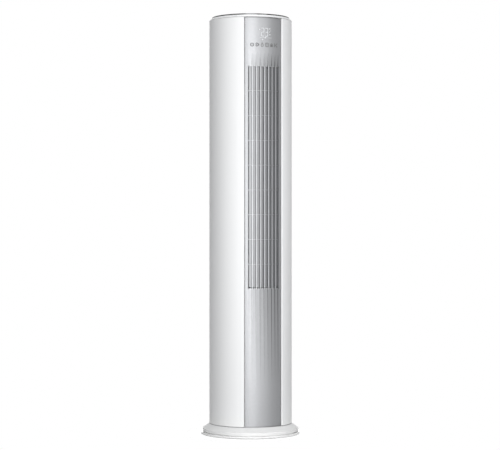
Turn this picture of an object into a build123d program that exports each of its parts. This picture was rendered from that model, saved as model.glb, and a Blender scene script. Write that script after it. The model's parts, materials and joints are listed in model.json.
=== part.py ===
from build123d import *
import math
import os

os.makedirs("parts", exist_ok=True)

# Millimetres. The origin is on the floor under the cabinet axis, the front faces -Y and +Z is up.
# Angles round the cabinet are in degrees from the front, positive towards +X.

# Cabinet
cabinet_radius = 185.0
cabinet_height = 1865.0
shell_wall = 2.5
seat_gap = 0.2
rest_gap = 0.3
cover_line = 0.25
fuse_angle = 0.1
pick_room = 0.1

# Base
base_radius = 221.0
base_ledge = 7.0
base_edge_top = 11.5
base_groove_top = 14.0
base_groove_depth = 4.0
base_step_top = 26.5
base_height = 46.0
base_wall = 3.0
base_rim_share = 0.3
skirt_bottom = 3.0
foot_count = 5
foot_radius = 18.0
foot_height = 4.0
foot_circle = 150.0

# Cap
cap_height = 15.0
cap_shadow_line = 1.2
bevel_width = 11.0
bevel_height = 10.0
ring_width = 3.0
ring_height = 7.0
ring_rise = 1.0
cap_wall = 3.0
cap_locating_gap = 1.0

# Front panel
panel_half_angle = 29.4
panel_recess = 8.5
panel_wall = 3.5
pad_depth = 6.0
pad_margin_angle = 1.8
pad_margin_height = 5.0
return_depth = 14.5
return_wall = 3.0
return_edge_radius = 1.4
flange_wall = 2.3
flange_gap_angle = 0.8

# Outlet, its cross bars and the flutes above and below it
outlet_drop = 230.0
outlet_height = 981.0
slot_count = 8
slot_pitch = 5.95
ridge_width = 3.0
cell_count = 9
bar_height = 2.2
bar_depth = 3.2
bar_setback = 2.0
rail_angle = 0.6
grille_wall = 3.0
grille_border_angle = 4.0
grille_border_height = 11.0
flute_depth = 2.2
flute_left_share = 0.15
flute_middle_share = 0.8
flute_reach_up = 68.0
flute_low_end = 169.0
flute_run_out = 0.3

# Swing louvres between the bars, with their link bar behind
louvre_circle = 169.5
louvre_half_chord = 6.8
louvre_nose_radius = 1.7
louvre_edge_wall = 0.8
louvre_dish = 0.5
louvre_thickness = 3.2
louvre_rest_tilt = 14.0
louvre_pin_radius = 1.5
louvre_bar_gap = 0.6
pin_clearance = 0.05
crank_length = 6.2
crank_rest_angle = 31.0
crank_width = 4.0
crank_height = 2.5
crank_pin_radius = 1.2
link_width = 4.4
link_setback = 7.0
link_height = 3.0
drive_setback = 20.0
drive_shaft_radius = 2.0
link_end_angle = 0.6
drive_arm_share = 1.2
drive_crank_share = 1.3

# Tilting vanes behind the louvres
vane_pivot_y = -112.0
vane_chord = 34.0
vane_thickness = 3.0
vane_pin_radius = 2.0
vane_crank = 20.0
vane_crank_width = 6.0
vane_crank_pin_radius = 1.5
vane_link_width = 5.0
vane_ear_x = 58.0
vane_ear_wall = 2.0
vane_end_gap = 0.6
vane_pin_end = 4.0
vane_link_depth = 3.0

# Air duct and fan
duct_half_width = 72.0
duct_wall = 2.0
duct_corner = 5.0
throat_length = 26.0
baffle_gap = 2.0
baffle_back_angle = 7.0
scroll_bulge = 6.0
scroll_lead = 2.0
scroll_end_drop = 8.0
fan_y = -25.0
fan_radius = 52.0
fan_blade_count = 28
fan_blade_radius = 9.0
fan_blade_wall = 1.4
fan_blade_arc = 46.0
fan_disc_count = 4
fan_disc_wall = 3.0
fan_end_gap = 5.0
shaft_radius = 5.0
shaft_room = 2.0
shaft_end_room = 4.0
motor_radius = 44.0
motor_height = 74.0
motor_flange = 10.0
motor_screw_count = 4
bearing_radius = 11.0
bearing_height = 7.0
bearing_flange = 3.0
stepper_radius = 14.0
stepper_height = 19.0
stepper_ear_share = 2.4

# Frame inside the cabinet
plate_wall = 3.0
bulkhead_radius = 163.8
bulkhead_drop = 11.0
bulkhead_rise = 11.0
top_plate_depth = 12.0
top_hole_count = 6
top_hole_circle = 105.0
top_hole_radius = 25.2
post_wall = 1.5
front_post_angle = 4.6
front_post_lap = 0.6
rear_post_start = 115.5
rear_post_angle = 5.0

# Heat exchanger
coil_inner_radius = 130.0
coil_outer_radius = 154.0
coil_end_angle = 76.0
fin_groove_count = 83
fin_groove_width = 4.6
fin_groove_depth = 22.0
sheet_wall = 2.0
sheet_margin = 4.0
bend_count = 9
bend_tube_radius = 3.5
bend_radius = 12.7
pan_wall = 2.0
pan_height = 17.0
pan_margin = 5.0
pan_end_angle = 4.0
pan_end_wall_angle = 1.0

# Rear covers
rear_half_angle = 62.0
service_drop = 94.0
slot_row_count = 6
slot_column_count = 19
slot_column_pitch = 5.4
slot_opening_width = 7.0
slot_row_bridge = 18.0
pipe_hole_radius = 38.0
pipe_hole_height = 120.0
grommet_lip = 5.0
grommet_wall = 4.0
grommet_half_angle = 40.0
gland_angle = 152.0
gland_radius = 11.0
gland_bore = 4.5
gland_collar_wall = 3.6
gland_collar_length = 10.0
gland_collar_taper = 8.0
screw_radius = 1.9
screw_head_radius = 4.0
screw_head_height = 2.2
screw_length = 9.0
screw_rows = 3
screw_clearance = 0.1
screw_head_taper = 12.0
screw_edge_angle = 1.2
hexagon_sides = 6

# Filter
filter_radius = 166.0
filter_frame_depth = 4.0
filter_mesh_wall = 0.8
filter_bar = 8.0
filter_rows = 4
filter_columns = 3
filter_gap_angle = 0.3

# Electrical parts
board_wall = 1.6
display_drop = 82.0
display_width = 56.0
display_tall = 48.0
display_block_width = 34.0
display_block_tall = 38.0
board_corner_radius = 3.0
key_count = 6
key_pitch = 7.35
key_drop = 140.0
key_radius = 4.0
box_width = 190.0
box_depth = 96.0
box_tall = 120.0
box_wall = 1.5
box_y = 42.0
board_margin_x = 11.4
board_margin_y = 8.64
standoff_inset_x = 19.0
standoff_inset_y = 14.4
standoff_radius = 3.0
standoff_height = 6.0
tall_part_height = 32.0
transformer_width = 46.0
transformer_depth = 40.0
transformer_x = -47.5
heat_sink_width = 34.0
heat_sink_depth = 26.0
heat_sink_x = 41.8
heat_sink_y = 12.0
terminal_circle = 114.7
terminal_lead_angle = 40.0
terminal_foot_width = 40.0
terminal_foot_length = 70.0
terminal_height = 96.0
terminal_length = 62.0
terminal_tall = 24.0
terminal_depth = 16.0
terminal_count = 5
terminal_pitch = 12.0
terminal_hole_radius = 3.5
terminal_hole_depth = 5.0

# Refrigerant pipes
gas_pipe_radius = 7.94
liquid_pipe_radius = 4.76
gas_pipe_rise = 90.0
liquid_pipe_rise = 50.0
pipe_end_height = 205.0
gas_pipe_lead = 56.0
liquid_pipe_lead = 30.0
pipe_bend = 18.0
nut_height = 22.0
nut_share = 1.5
nut_wall = 2.0
gas_pipe_inset = 1.0
liquid_pipe_inset = 2.0
pipe_room = 2.0
bracket_wall = 2.0
bracket_rise = 18.0
bracket_web_share = 0.6
bracket_fuse = 0.02

# Levels and radii worked out from the sizes above
cover_seat = cabinet_height - cap_height
shell_top = cover_seat - cap_shadow_line
shell_inner = cabinet_radius - shell_wall
panel_outer = cabinet_radius - panel_recess
panel_inner = panel_outer - panel_wall
pad_inner = panel_inner - pad_depth
base_step_radius = base_radius - base_ledge
outlet_top = cabinet_height - outlet_drop
outlet_bottom = outlet_top - outlet_height
flute_reach_down = outlet_bottom - flute_low_end
service_height = outlet_bottom - service_drop
display_height = cabinet_height - display_drop
key_height = cabinet_height - key_drop
gas_pipe_start = outlet_bottom + gas_pipe_rise
liquid_pipe_start = outlet_bottom + liquid_pipe_rise
outlet_half_angle = slot_count * slot_pitch / 2
window_half_angle = outlet_half_angle + rail_angle
chassis_top = base_height + plate_wall
lower_bulkhead_top = outlet_bottom - bulkhead_drop
lower_bulkhead_bottom = lower_bulkhead_top - plate_wall
upper_bulkhead_bottom = outlet_top + bulkhead_rise
upper_bulkhead_top = upper_bulkhead_bottom + plate_wall
top_plate_bottom = cover_seat - top_plate_depth - plate_wall
grille_outer = pad_inner - seat_gap
grille_inner = grille_outer - grille_wall
bar_pitch = outlet_height / cell_count
bar_levels = [outlet_bottom + bar_pitch * (row + 1) for row in range(cell_count - 1)]
slot_angles = [slot_pitch * (column - (slot_count - 1) / 2) for column in range(slot_count)]


def spot(radius, angle):
    """Point at a radius and an angle round the cabinet axis, measured from the front."""
    turn = math.radians(angle)
    return (radius * math.sin(turn), -radius * math.cos(turn))


def radial_plane(angle, height):
    """Plane through the cabinet axis that faces outwards at an angle, with its y axis up."""
    turn = math.radians(angle)
    outward = (math.sin(turn), -math.cos(turn), 0)
    sideways = (math.cos(turn), math.sin(turn), 0)
    return Plane(origin=(0, 0, height), x_dir=sideways, z_dir=outward)


class RingSector(BaseSketchObject):
    """Part of a flat ring between two radii and two angles from the front."""

    def __init__(self, inner, outer, start, end, mode=Mode.ADD):
        middle = (start + end) / 2
        outline = [
            Edge.make_line(spot(inner, start), spot(outer, start)),
            Edge.make_three_point_arc(spot(outer, start), spot(outer, middle), spot(outer, end)),
            Edge.make_line(spot(outer, end), spot(inner, end)),
            Edge.make_three_point_arc(spot(inner, end), spot(inner, middle), spot(inner, start)),
        ]
        super().__init__(Face(Wire(outline)), rotation=0, align=None, mode=mode)


def finish(piece, name):
    """Labels a finished piece and writes it to its own file."""
    piece.part.label = name
    export_step(piece.part, f"parts/{name}.step")


# ---------------------------------------------------------------- base

with BuildPart() as base_plinth:
    with BuildSketch(Plane.XZ) as base_section:
        with BuildLine():
            Polyline(
                (0, base_height),
                (cabinet_radius, base_height),
                (base_step_radius, base_step_top),
                (base_step_radius, base_groove_top),
                (base_step_radius - base_groove_depth, base_groove_top),
                (base_step_radius - base_groove_depth, base_edge_top),
                (base_radius, base_edge_top),
                (base_radius, skirt_bottom),
                (base_radius - base_wall - base_groove_depth, skirt_bottom),
                (base_step_radius - base_wall - base_groove_depth, base_edge_top - base_wall),
                (base_step_radius - base_wall - base_groove_depth, base_step_top - base_wall),
                (cabinet_radius - base_wall, base_height - base_wall),
                (0, base_height - base_wall),
                close=True,
            )
        make_face()
        rim = base_section.vertices().filter_by_position(
            Axis.X, base_radius - pick_room, base_radius + pick_room
        )
        fillet(rim, radius=(base_edge_top - skirt_bottom) * base_rim_share)
        shoulder = base_section.vertices().filter_by_position(
            Axis.X, base_step_radius - pick_room, base_step_radius + pick_room
        )
        fillet(shoulder.sort_by(Axis.Y)[-1], radius=base_wall)
    revolve(axis=Axis.Z)
    with BuildSketch(Plane.XY.offset(foot_height)):
        with PolarLocations(foot_circle, foot_count, start_angle=90):
            Circle(foot_radius + base_wall)
    extrude(amount=base_height - base_wall / 2 - foot_height)
    with BuildSketch(Plane.XY.offset(skirt_bottom + base_wall)):
        with PolarLocations(foot_circle / 2, foot_count, start_angle=90):
            Rectangle(foot_circle, base_wall)
    extrude(amount=base_height - base_wall * 1.5 - skirt_bottom)
finish(base_plinth, "base_plinth")

with BuildPart() as rubber_feet:
    with BuildSketch():
        with PolarLocations(foot_circle, foot_count, start_angle=90):
            Circle(foot_radius)
    extrude(amount=foot_height)
    fillet(rubber_feet.edges().group_by(Axis.Z)[0], radius=foot_height / 4)
finish(rubber_feet, "rubber_feet")


def carrier_outline():
    """Disc that fills the shells, cut back behind the front panel and its flanges."""
    with BuildSketch() as outline:
        Circle(shell_inner - seat_gap)
        clear_angle = panel_half_angle + math.degrees(return_wall / cabinet_radius) + 1
        RingSector(
            cabinet_radius - return_depth - seat_gap,
            cabinet_radius + shell_wall,
            -clear_angle,
            clear_angle,
            mode=Mode.SUBTRACT,
        )
    return outline.sketch


with BuildPart() as chassis_plate:
    with BuildSketch(Plane.XY.offset(base_height)):
        add(carrier_outline())
        with PolarLocations(foot_circle / 2, foot_count, start_angle=90 - 180 / foot_count):
            Circle(foot_radius, mode=Mode.SUBTRACT)
    extrude(amount=plate_wall)
finish(chassis_plate, "chassis_plate")

# ---------------------------------------------------------------- outer covers

shell_bottom = base_height + rest_gap
return_angle = math.degrees(return_wall / cabinet_radius)
flange_outer = panel_inner - seat_gap
flange_start = outlet_half_angle + pad_margin_angle + flange_gap_angle
side_end_angle = 180 - rear_half_angle

with BuildPart() as shell_right:
    with BuildSketch(Plane.XY.offset(shell_bottom)) as shell_section:
        RingSector(shell_inner, cabinet_radius, panel_half_angle, side_end_angle - cover_line)
        RingSector(
            cabinet_radius - return_depth,
            cabinet_radius,
            panel_half_angle,
            panel_half_angle + return_angle,
        )
        RingSector(flange_outer - flange_wall, flange_outer, flange_start, panel_half_angle + fuse_angle)
        corner = shell_section.vertices().sort_by_distance(spot(cabinet_radius, panel_half_angle))[0]
        fillet(corner, radius=return_edge_radius)
    extrude(amount=shell_top - shell_bottom)
finish(shell_right, "shell_right")

with BuildPart() as shell_left:
    add(mirror(shell_right.part, about=Plane.YZ, mode=Mode.PRIVATE))
finish(shell_left, "shell_left")

slot_zone_bottom = lower_bulkhead_top + slot_row_bridge
slot_zone_top = upper_bulkhead_bottom - slot_row_bridge
slot_row_pitch = (slot_zone_top - slot_zone_bottom + slot_row_bridge) / slot_row_count
slot_row_height = slot_row_pitch - slot_row_bridge
rear_start = 180 - rear_half_angle + cover_line
rear_end = 180 + rear_half_angle - cover_line
rear_bottom = service_height + rest_gap
screw_angle = rear_post_start + rear_post_angle - screw_edge_angle
rear_screw_levels = [
    rear_bottom + (shell_top - rear_bottom) * (row + 0.5) / screw_rows for row in range(screw_rows)
]
service_screw_levels = [shell_bottom + (service_height - shell_bottom) * share for share in (0.15, 0.85)]
screw_levels = service_screw_levels + rear_screw_levels
screw_angles = (screw_angle, -screw_angle)


def screw_holes(levels):
    """Clearance holes through a rear cover or its posts, as one cutter."""
    with BuildPart() as holes:
        for angle in screw_angles:
            for level in levels:
                with BuildSketch(radial_plane(angle, level).offset(cabinet_radius - screw_length)):
                    Circle(screw_radius + screw_clearance)
                extrude(amount=screw_length + shell_wall)
    return holes.part


with BuildPart() as rear_panel:
    with BuildSketch(Plane.XY.offset(rear_bottom)):
        RingSector(shell_inner, cabinet_radius, rear_start, rear_end)
    extrude(amount=shell_top - rear_bottom)
    for column in range(slot_column_count):
        angle = 180 + slot_column_pitch * (column - (slot_column_count - 1) / 2)
        with BuildSketch(radial_plane(angle, 0).offset(shell_inner - shell_wall)):
            for row in range(slot_row_count):
                with Locations((0, slot_zone_bottom + slot_row_height / 2 + slot_row_pitch * row)):
                    SlotOverall(slot_row_height, slot_opening_width, rotation=90)
        extrude(amount=shell_wall * 3, mode=Mode.SUBTRACT)
    add(screw_holes(rear_screw_levels), mode=Mode.SUBTRACT)
finish(rear_panel, "rear_panel")

with BuildPart() as rear_service_cover:
    with BuildSketch(Plane.XY.offset(shell_bottom)):
        RingSector(shell_inner, cabinet_radius, rear_start, rear_end)
    extrude(amount=service_height - shell_bottom)
    with BuildSketch(radial_plane(180, pipe_hole_height).offset(shell_inner - pipe_hole_radius)):
        Circle(pipe_hole_radius)
    extrude(amount=pipe_hole_radius * 2, mode=Mode.SUBTRACT)
    with BuildSketch(radial_plane(gland_angle, pipe_hole_height).offset(shell_inner - shell_wall)):
        Circle(gland_radius + seat_gap)
    extrude(amount=shell_wall * 3, mode=Mode.SUBTRACT)
    add(screw_holes(service_screw_levels), mode=Mode.SUBTRACT)
finish(rear_service_cover, "rear_service_cover")

grommet_start = 180 - grommet_half_angle
grommet_end = 180 + grommet_half_angle

with BuildPart() as pipe_grommet:
    with BuildSketch(radial_plane(180, pipe_hole_height).offset(shell_inner - grommet_lip)):
        Circle(pipe_hole_radius - seat_gap)
    extrude(amount=grommet_lip * 2 + shell_wall)
    with BuildSketch(radial_plane(180, pipe_hole_height).offset(shell_inner - grommet_lip)):
        Circle(pipe_hole_radius + grommet_lip)
    extrude(amount=grommet_lip * 2 + shell_wall)
    with BuildSketch(Plane.XY.offset(pipe_hole_height - pipe_hole_radius * 2)):
        RingSector(
            shell_inner - grommet_lip, cabinet_radius + grommet_wall / 2, grommet_start, grommet_end
        )
    extrude(amount=pipe_hole_radius * 4, mode=Mode.INTERSECT)
    with BuildSketch(Plane.XY.offset(pipe_hole_height - pipe_hole_radius * 2)):
        RingSector(
            shell_inner - grommet_lip * 2, cabinet_radius + seat_gap, grommet_start, grommet_end
        )
    extrude(amount=pipe_hole_radius * 4, mode=Mode.SUBTRACT)
    with BuildSketch(radial_plane(180, pipe_hole_height).offset(shell_inner - grommet_lip)):
        Circle(pipe_hole_radius - seat_gap)
    extrude(amount=grommet_lip + shell_wall + grommet_wall / 4)
    with BuildSketch(radial_plane(180, pipe_hole_height).offset(shell_inner - grommet_lip * 2)):
        Circle(pipe_hole_radius - grommet_wall)
    extrude(amount=grommet_lip * 4, mode=Mode.SUBTRACT)
finish(pipe_grommet, "pipe_grommet")

with BuildPart() as power_gland:
    with BuildSketch(radial_plane(gland_angle, pipe_hole_height).offset(shell_inner - grommet_lip * 2)):
        Circle(gland_radius)
    extrude(amount=grommet_lip * 2 + shell_wall + rest_gap)
    with BuildSketch(radial_plane(gland_angle, pipe_hole_height).offset(cabinet_radius + rest_gap)):
        RegularPolygon(gland_radius + grommet_wall, hexagon_sides)
    extrude(amount=grommet_wall)
    with BuildSketch(radial_plane(gland_angle, pipe_hole_height).offset(cabinet_radius)):
        Circle(gland_bore + gland_collar_wall)
    extrude(amount=gland_collar_length, taper=gland_collar_taper)
    with BuildSketch(radial_plane(gland_angle, pipe_hole_height).offset(shell_inner - grommet_lip * 3)):
        Circle(gland_bore)
    extrude(amount=grommet_lip * 8, mode=Mode.SUBTRACT)
finish(power_gland, "power_gland")

with BuildPart() as cover_screws:
    for angle in screw_angles:
        for level in screw_levels:
            with BuildSketch(radial_plane(angle, level).offset(cabinet_radius - screw_length)):
                Circle(screw_radius)
            extrude(amount=screw_length + rest_gap)
            with BuildSketch(radial_plane(angle, level).offset(cabinet_radius + rest_gap)):
                Circle(screw_head_radius)
            extrude(amount=screw_head_height, taper=screw_head_taper)
finish(cover_screws, "cover_screws")

# ---------------------------------------------------------------- cap

ring_outer = cabinet_radius - bevel_width - seat_gap
ring_inner = ring_outer - ring_width
ring_bottom = cabinet_height - ring_height
locating_rim = cabinet_radius - return_depth - seat_gap - cap_locating_gap

with BuildPart() as top_cover:
    with BuildSketch(Plane.XZ):
        with BuildLine():
            Polyline(
                (0, cabinet_height - ring_rise),
                (ring_inner * 0.6, cabinet_height - ring_rise * 1.4),
                (ring_inner - seat_gap, cabinet_height - ring_rise * 3),
                (ring_inner - seat_gap, ring_bottom),
                (ring_outer + seat_gap, ring_bottom),
                (ring_outer + seat_gap, cover_seat + bevel_height),
                (cabinet_radius, cover_seat),
                (cabinet_radius - 2 * cap_wall, cover_seat),
                (locating_rim, cover_seat + cap_wall),
                (locating_rim, top_plate_bottom + plate_wall),
                (locating_rim - cap_wall, top_plate_bottom + plate_wall),
                (locating_rim - cap_wall, ring_bottom - cap_wall),
                (0, cabinet_height - ring_rise - cap_wall),
                close=True,
            )
        make_face()
    revolve(axis=Axis.Z)
finish(top_cover, "top_cover")

with BuildPart() as top_ring:
    with BuildSketch(Plane.XZ):
        with Locations(((ring_inner + ring_outer) / 2, ring_bottom + ring_height / 2)):
            RectangleRounded(ring_width, ring_height, ring_width * 0.3)
    revolve(axis=Axis.Z)
finish(top_ring, "top_ring")

# ---------------------------------------------------------------- front panel with its flutes

ridge_half_angle = math.degrees(ridge_width / 2 / panel_outer)
flute_half_angle = slot_pitch / 2 - ridge_half_angle
flute_clear = panel_outer + panel_wall
panel_edge_angle = panel_half_angle - cover_line
pad_half_angle = outlet_half_angle + pad_margin_angle
pad_bottom = outlet_bottom - flute_reach_down - pad_margin_height
pad_top = outlet_top + flute_reach_up + pad_margin_height


def flute_outline(angle, depth):
    """Section cut by a flute: its curved floor falls away from the ridge on its left."""
    start = angle - flute_half_angle
    end = angle + flute_half_angle
    floor_start = spot(panel_outer - depth * flute_left_share, start)
    floor_middle = spot(panel_outer - depth * flute_middle_share, angle)
    floor_end = spot(panel_outer - depth, end)
    with BuildSketch() as outline:
        with BuildLine():
            ThreePointArc(floor_start, floor_middle, floor_end)
            Polyline(floor_end, spot(flute_clear, end), spot(flute_clear, start), floor_start)
        make_face()
    return outline.sketch


with BuildPart() as front_panel:
    with BuildSketch(Plane.XY.offset(shell_bottom)):
        RingSector(panel_inner, panel_outer, -panel_edge_angle, panel_edge_angle)
    extrude(amount=shell_top - shell_bottom)
    with BuildSketch(Plane.XY.offset(pad_bottom)):
        RingSector(pad_inner, panel_inner + panel_wall / 2, -pad_half_angle, pad_half_angle)
    extrude(amount=pad_top - pad_bottom)
    with BuildSketch(Plane.XY.offset(outlet_bottom)):
        RingSector(pad_inner - 1, panel_outer + 1, -window_half_angle, window_half_angle)
    extrude(amount=outlet_height, mode=Mode.SUBTRACT)
    for flute_start, flute_end in (
        (outlet_bottom, outlet_bottom - flute_reach_down),
        (outlet_top, outlet_top + flute_reach_up),
    ):
        for angle in slot_angles:
            with BuildSketch(Plane.XY.offset(flute_start)):
                add(flute_outline(angle, flute_depth))
            with BuildSketch(Plane.XY.offset(flute_end)):
                add(flute_outline(angle, -flute_run_out))
            loft(ruled=True, mode=Mode.SUBTRACT)
finish(front_panel, "front_panel")

border_angle = outlet_half_angle + grille_border_angle
rail_end_angle = window_half_angle - math.degrees(seat_gap / panel_outer)
bar_outer = panel_outer - bar_setback
bar_inner = bar_outer - bar_depth
end_bar_low = outlet_bottom + seat_gap
end_bar_high = outlet_top - seat_gap - bar_height
rib_angles = [slot_pitch * (rib - slot_count / 2) for rib in range(1, slot_count)]

with BuildPart() as outlet_grille:
    with BuildSketch(Plane.XY.offset(outlet_bottom - grille_border_height)):
        RingSector(grille_inner, grille_outer, -border_angle, border_angle)
    extrude(amount=outlet_height + 2 * grille_border_height)
    with BuildSketch(Plane.XY.offset(end_bar_low)):
        RingSector(grille_inner - 1, grille_outer + 1, -outlet_half_angle, outlet_half_angle)
    extrude(amount=outlet_height - 2 * seat_gap, mode=Mode.SUBTRACT)
    with BuildSketch(Plane.XY.offset(end_bar_low)):
        RingSector(grille_inner, bar_outer, outlet_half_angle, rail_end_angle)
        RingSector(grille_inner, bar_outer, -rail_end_angle, -outlet_half_angle)
    extrude(amount=outlet_height - 2 * seat_gap)
    for level in bar_levels:
        with BuildSketch(Plane.XY.offset(level - bar_height / 2)):
            RingSector(bar_inner, bar_outer, -rail_end_angle, rail_end_angle)
        extrude(amount=bar_height)
    with BuildSketch(Plane.XY.offset(end_bar_low)):
        for angle in rib_angles:
            RingSector(bar_inner, panel_outer, angle - ridge_half_angle, angle + ridge_half_angle)
    extrude(amount=outlet_height - 2 * seat_gap)
    for level in (end_bar_low, end_bar_high):
        with BuildSketch(Plane.XY.offset(level)):
            RingSector(grille_inner, bar_outer, -rail_end_angle, rail_end_angle)
            with Locations([spot(louvre_circle, angle) for angle in slot_angles]):
                Circle(louvre_pin_radius + pin_clearance, mode=Mode.SUBTRACT)
        extrude(amount=bar_height)
finish(outlet_grille, "outlet_grille")

# ---------------------------------------------------------------- frame

with BuildPart() as top_plate:
    with BuildSketch(Plane.XY.offset(top_plate_bottom)):
        add(carrier_outline())
        with PolarLocations(top_hole_circle, top_hole_count):
            Circle(top_hole_radius, mode=Mode.SUBTRACT)
    extrude(amount=plate_wall)
finish(top_plate, "top_plate")

front_post_start = panel_half_angle - front_post_lap
front_post_end = front_post_start + front_post_angle
front_post_outer = cabinet_radius - return_depth - seat_gap
post_bottom_radius = bulkhead_radius + seat_gap
front_wall_angle = math.degrees(post_wall / front_post_outer)
rear_post_end = rear_post_start + rear_post_angle
rear_post_outer = shell_inner - seat_gap
rear_wall_angle = math.degrees(post_wall / rear_post_outer)

with BuildPart() as frame_posts:
    with BuildSketch(Plane.XY.offset(chassis_top)):
        for side in (1, -1):
            RingSector(
                post_bottom_radius, front_post_outer, side * front_post_start, side * front_post_end
            )
            RingSector(post_bottom_radius, rear_post_outer, side * rear_post_start, side * rear_post_end)
        for side in (1, -1):
            RingSector(
                post_bottom_radius + post_wall,
                front_post_outer + post_wall,
                side * (front_post_start + front_wall_angle),
                side * (front_post_end - front_wall_angle),
                mode=Mode.SUBTRACT,
            )
            RingSector(
                post_bottom_radius + post_wall,
                rear_post_outer - post_wall,
                side * (rear_post_start + rear_wall_angle),
                side * (rear_post_end + rear_wall_angle),
                mode=Mode.SUBTRACT,
            )
    extrude(amount=top_plate_bottom - chassis_top)
    add(screw_holes(screw_levels), mode=Mode.SUBTRACT)
finish(frame_posts, "frame_posts")

shaft_hole = shaft_radius + shaft_room
sheet_angle = math.degrees(sheet_wall / coil_inner_radius)
pipe_start_angle = coil_end_angle - sheet_angle - math.degrees(rest_gap / coil_inner_radius)


def pipe_foot(start_circle, lead):
    """Plan position of the vertical run of a pipe that leaves the coil end along the coil."""
    turn = math.radians(coil_end_angle)
    forward = Vector(-math.cos(turn), -math.sin(turn))
    return Vector(*spot(start_circle, pipe_start_angle)) + forward * lead


gas_circle = coil_inner_radius + gas_pipe_radius + gas_pipe_inset
liquid_circle = coil_outer_radius - liquid_pipe_radius - liquid_pipe_inset
gas_foot = pipe_foot(gas_circle, gas_pipe_lead)
liquid_foot = pipe_foot(liquid_circle, liquid_pipe_lead)
pipe_feet = ((gas_foot, gas_pipe_radius), (liquid_foot, liquid_pipe_radius))


with BuildPart() as bulkhead_lower:
    with BuildSketch(Plane.XY.offset(lower_bulkhead_bottom)):
        Circle(bulkhead_radius)
        with Locations((0, fan_y)):
            Circle(shaft_hole, mode=Mode.SUBTRACT)
        with Locations(spot(louvre_circle - drive_setback, 0)):
            Circle(drive_shaft_radius + pin_clearance, mode=Mode.SUBTRACT)
        for foot, radius in pipe_feet:
            with Locations((foot.X, foot.Y)):
                Circle(radius + pipe_room, mode=Mode.SUBTRACT)
        with Locations(spot((coil_inner_radius + coil_outer_radius) / 2, 180)):
            Circle(gland_radius + rest_gap, mode=Mode.SUBTRACT)
    extrude(amount=plate_wall)
finish(bulkhead_lower, "bulkhead_lower")

with BuildPart() as bulkhead_upper:
    with BuildSketch(Plane.XY.offset(upper_bulkhead_bottom)):
        Circle(bulkhead_radius)
        with Locations((0, fan_y)):
            Circle(bearing_radius + seat_gap, mode=Mode.SUBTRACT)
    extrude(amount=plate_wall)
finish(bulkhead_upper, "bulkhead_upper")

# ---------------------------------------------------------------- duct

duct_front_y = -math.sqrt((grille_inner - rest_gap) ** 2 - (duct_half_width + duct_wall) ** 2)
duct_axis_x = duct_half_width + duct_wall / 2
tongue_y = fan_y - fan_radius * 0.58
baffle_end = spot(coil_inner_radius - sheet_margin - baffle_gap, coil_end_angle - baffle_back_angle)


def vane_holes():
    """Bearing holes for the vane pins through both duct walls, as one cutter."""
    with BuildPart() as holes:
        with BuildSketch(Plane.YZ.offset(-duct_half_width - 2 * duct_wall)):
            with Locations([(vane_pivot_y, level) for level in bar_levels]):
                Circle(vane_pin_radius + pin_clearance)
        extrude(amount=2 * duct_half_width + 4 * duct_wall)
    return holes.part


with BuildPart() as duct_right:
    with BuildSketch(Plane.XY.offset(lower_bulkhead_top)):
        with BuildLine():
            FilletPolyline(
                (duct_axis_x, duct_front_y),
                (duct_axis_x, tongue_y - throat_length),
                (fan_radius, tongue_y),
                baffle_end,
                radius=duct_corner,
            )
        trace(line_width=duct_wall)
    extrude(amount=upper_bulkhead_bottom - lower_bulkhead_top)
    add(vane_holes(), mode=Mode.SUBTRACT)
finish(duct_right, "duct_right")

scroll_start = (-fan_radius * 0.85, fan_y + fan_radius * 0.75)
scroll_middle = (-(fan_radius + duct_half_width) / 2 - scroll_bulge, fan_y + scroll_lead)
scroll_end_y = tongue_y - scroll_end_drop

with BuildPart() as duct_left:
    with BuildSketch(Plane.XY.offset(lower_bulkhead_top)):
        with BuildLine():
            Line((-duct_axis_x, duct_front_y), (-duct_axis_x, scroll_end_y))
            ThreePointArc((-duct_axis_x, scroll_end_y), scroll_middle, scroll_start)
            Line((-duct_axis_x, scroll_end_y), (-baffle_end[0], baffle_end[1]))
        trace(line_width=duct_wall)
    extrude(amount=upper_bulkhead_bottom - lower_bulkhead_top)
    add(vane_holes(), mode=Mode.SUBTRACT)
finish(duct_left, "duct_left")

# ---------------------------------------------------------------- heat exchanger

pan_inner = coil_inner_radius - pan_margin
pan_outer = coil_outer_radius + pan_margin
coil_bottom = lower_bulkhead_top + pan_wall + seat_gap
coil_top = upper_bulkhead_bottom - rest_gap
coil_start = coil_end_angle
coil_finish = 360 - coil_end_angle
pan_start = coil_start - pan_end_angle
pan_finish = coil_finish + pan_end_angle

with BuildPart() as drain_pan:
    with BuildSketch(Plane.XY.offset(lower_bulkhead_top)):
        RingSector(pan_inner, pan_outer, pan_start, pan_finish)
    extrude(amount=pan_height)
    with BuildSketch(Plane.XY.offset(lower_bulkhead_top + pan_wall)):
        RingSector(
            pan_inner + pan_wall,
            pan_outer - pan_wall,
            pan_start + pan_end_wall_angle,
            pan_finish - pan_end_wall_angle,
        )
    extrude(amount=pan_height, mode=Mode.SUBTRACT)
    with BuildSketch(Plane.XY.offset(lower_bulkhead_top + pan_wall)):
        with Locations(spot((coil_inner_radius + coil_outer_radius) / 2, 180)):
            Circle(gland_radius)
    extrude(amount=-foot_circle / 2)
    with BuildSketch(Plane.XY.offset(lower_bulkhead_top + pan_wall)):
        with Locations(spot((coil_inner_radius + coil_outer_radius) / 2, 180)):
            Circle(gland_radius - pan_wall)
    extrude(amount=-foot_circle, mode=Mode.SUBTRACT)
finish(drain_pan, "drain_pan")

with BuildPart() as evaporator_core:
    with BuildSketch(Plane.XY.offset(coil_bottom)):
        RingSector(coil_inner_radius, coil_outer_radius, coil_start, coil_finish)
        for groove in range(fin_groove_count):
            turn = coil_start + (coil_finish - coil_start) * (groove + 0.5) / fin_groove_count
            with Locations(Location((*spot(coil_outer_radius, turn), 0), (0, 0, turn))):
                Rectangle(fin_groove_width, fin_groove_depth * 2, mode=Mode.SUBTRACT)
    extrude(amount=coil_top - coil_bottom)
finish(evaporator_core, "evaporator_core")

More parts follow.
